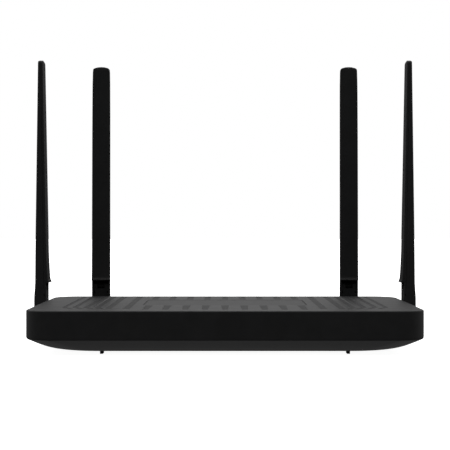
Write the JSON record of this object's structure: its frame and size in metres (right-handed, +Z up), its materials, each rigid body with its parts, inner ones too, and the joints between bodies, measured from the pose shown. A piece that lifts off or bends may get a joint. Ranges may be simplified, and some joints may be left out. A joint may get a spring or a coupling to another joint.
{
  "type": "wireless router",
  "caption": "Flat black wireless router with blade antennas that swivel and fold, network sockets at the rear, and a ribbed top face.",
  "frame": {"origin": "centre of the overall footprint, on the surface that the feet stand on", "axes": "+X to the right seen from the front, +Y towards the rear wall and its sockets, +Z up"},
  "size_m": [0.2628, 0.151, 0.1918],
  "materials": {
    "housing_black": "fine moulded texture, satin",
    "plate_black": "smooth satin",
    "antenna_black": "fine moulded texture, matt",
    "foot_rubber": "matt rubber",
    "screw_steel": "zinc plated",
    "board_green": "solder mask",
    "chip_black": "moulded epoxy",
    "shield_tin": "tinned sheet",
    "sink_aluminium": "extruded",
    "jack_plastic": "moulded",
    "button_black": "smooth satin",
    "coax_grey": "extruded jacket",
    "radiator_copper": "bare strip"
  },
  "bodies": {
    "housing": {"top_cover": "housing_black", "badge_plate": "plate_black", "bottom_cover": "housing_black", "foot_front_left": "foot_rubber", "foot_front_right": "foot_rubber", "foot_rear_left": "foot_rubber", "foot_rear_right": "foot_rubber", "cover_screw_1": "screw_steel", "cover_screw_2": "screw_steel", "cover_screw_3": "screw_steel", "cover_screw_4": "screw_steel", "main_board": "board_green", "processor_chip": "chip_black", "heat_sink": "sink_aluminium", "memory_chip": "chip_black", "flash_chip": "chip_black", "radio_shield_2g": "shield_tin", "radio_shield_5g": "shield_tin", "lan_transformer": "chip_black", "wan_transformer": "chip_black", "wan_jack": "jack_plastic", "lan_jack_bank": "jack_plastic", "power_jack": "jack_plastic", "power_switch": "chip_black", "wps_switch": "chip_black", "rear_left_lead": "coax_grey", "rear_right_lead": "coax_grey", "side_left_lead": "coax_grey", "side_right_lead": "coax_grey"},
    "power_button": {"power_button": "button_black"},
    "wps_button": {"wps_button": "button_black"},
    "rear_left_swivel": {"rear_left_knuckle": "housing_black", "rear_left_swivel_clip": "screw_steel", "rear_left_fold_pin": "screw_steel"},
    "rear_left_blade": {"rear_left_back_shell": "antenna_black", "rear_left_front_cover": "antenna_black", "rear_left_neck_cover": "antenna_black", "rear_left_radiator": "radiator_copper"},
    "rear_right_swivel": {"rear_right_knuckle": "housing_black", "rear_right_swivel_clip": "screw_steel", "rear_right_fold_pin": "screw_steel"},
    "rear_right_blade": {"rear_right_back_shell": "antenna_black", "rear_right_front_cover": "antenna_black", "rear_right_neck_cover": "antenna_black", "rear_right_radiator": "radiator_copper"},
    "side_left_swivel": {"side_left_knuckle": "housing_black", "side_left_swivel_clip": "screw_steel", "side_left_fold_pin": "screw_steel"},
    "side_left_blade": {"side_left_back_shell": "antenna_black", "side_left_front_cover": "antenna_black", "side_left_neck_cover": "antenna_black", "side_left_radiator": "radiator_copper"},
    "side_right_swivel": {"side_right_knuckle": "housing_black", "side_right_swivel_clip": "screw_steel", "side_right_fold_pin": "screw_steel"},
    "side_right_blade": {"side_right_back_shell": "antenna_black", "side_right_front_cover": "antenna_black", "side_right_neck_cover": "antenna_black", "side_right_radiator": "radiator_copper"}
  },
  "joints": [
    {"name": "power_button_press", "type": "slide", "parent": "housing", "child": "power_button", "axis": [0, -1, 0], "range_m": [0, 0.0015], "stiffness_N_per_m": 400, "springref_m": -0.0008},
    {"name": "wps_button_press", "type": "slide", "parent": "housing", "child": "wps_button", "axis": [0, -1, 0], "range_m": [0, 0.0005], "stiffness_N_per_m": 900, "springref_m": -0.0008},
    {"name": "rear_left_antenna_swivel", "type": "hinge", "parent": "housing", "child": "rear_left_swivel", "pos_m": [-0.0891, 0.0645, 0.0183], "axis": [0, 1, 0], "range_deg": [-90, 75]},
    {"name": "rear_left_antenna_fold", "type": "hinge", "parent": "rear_left_swivel", "child": "rear_left_blade", "pos_m": [-0.0891, 0.0713, 0.0183], "axis": [-1, 0, 0], "range_deg": [0, 90]},
    {"name": "rear_right_antenna_swivel", "type": "hinge", "parent": "housing", "child": "rear_right_swivel", "pos_m": [0.0891, 0.0645, 0.0183], "axis": [0, 1, 0], "range_deg": [-75, 90]},
    {"name": "rear_right_antenna_fold", "type": "hinge", "parent": "rear_right_swivel", "child": "rear_right_blade", "pos_m": [0.0891, 0.0713, 0.0183], "axis": [-1, 0, 0], "range_deg": [0, 90]},
    {"name": "side_left_antenna_swivel", "type": "hinge", "parent": "housing", "child": "side_left_swivel", "pos_m": [-0.12045, 0.0395, 0.0183], "axis": [-1, 0, 0], "range_deg": [-90, 90]},
    {"name": "side_left_antenna_fold", "type": "hinge", "parent": "side_left_swivel", "child": "side_left_blade", "pos_m": [-0.12725, 0.0395, 0.0183], "axis": [0, -1, 0], "range_deg": [0, 90]},
    {"name": "side_right_antenna_swivel", "type": "hinge", "parent": "housing", "child": "side_right_swivel", "pos_m": [0.12045, 0.0395, 0.0183], "axis": [1, 0, 0], "range_deg": [-90, 90]},
    {"name": "side_right_antenna_fold", "type": "hinge", "parent": "side_right_swivel", "child": "side_right_blade", "pos_m": [0.12725, 0.0395, 0.0183], "axis": [0, 1, 0], "range_deg": [0, 90]}
  ]
}
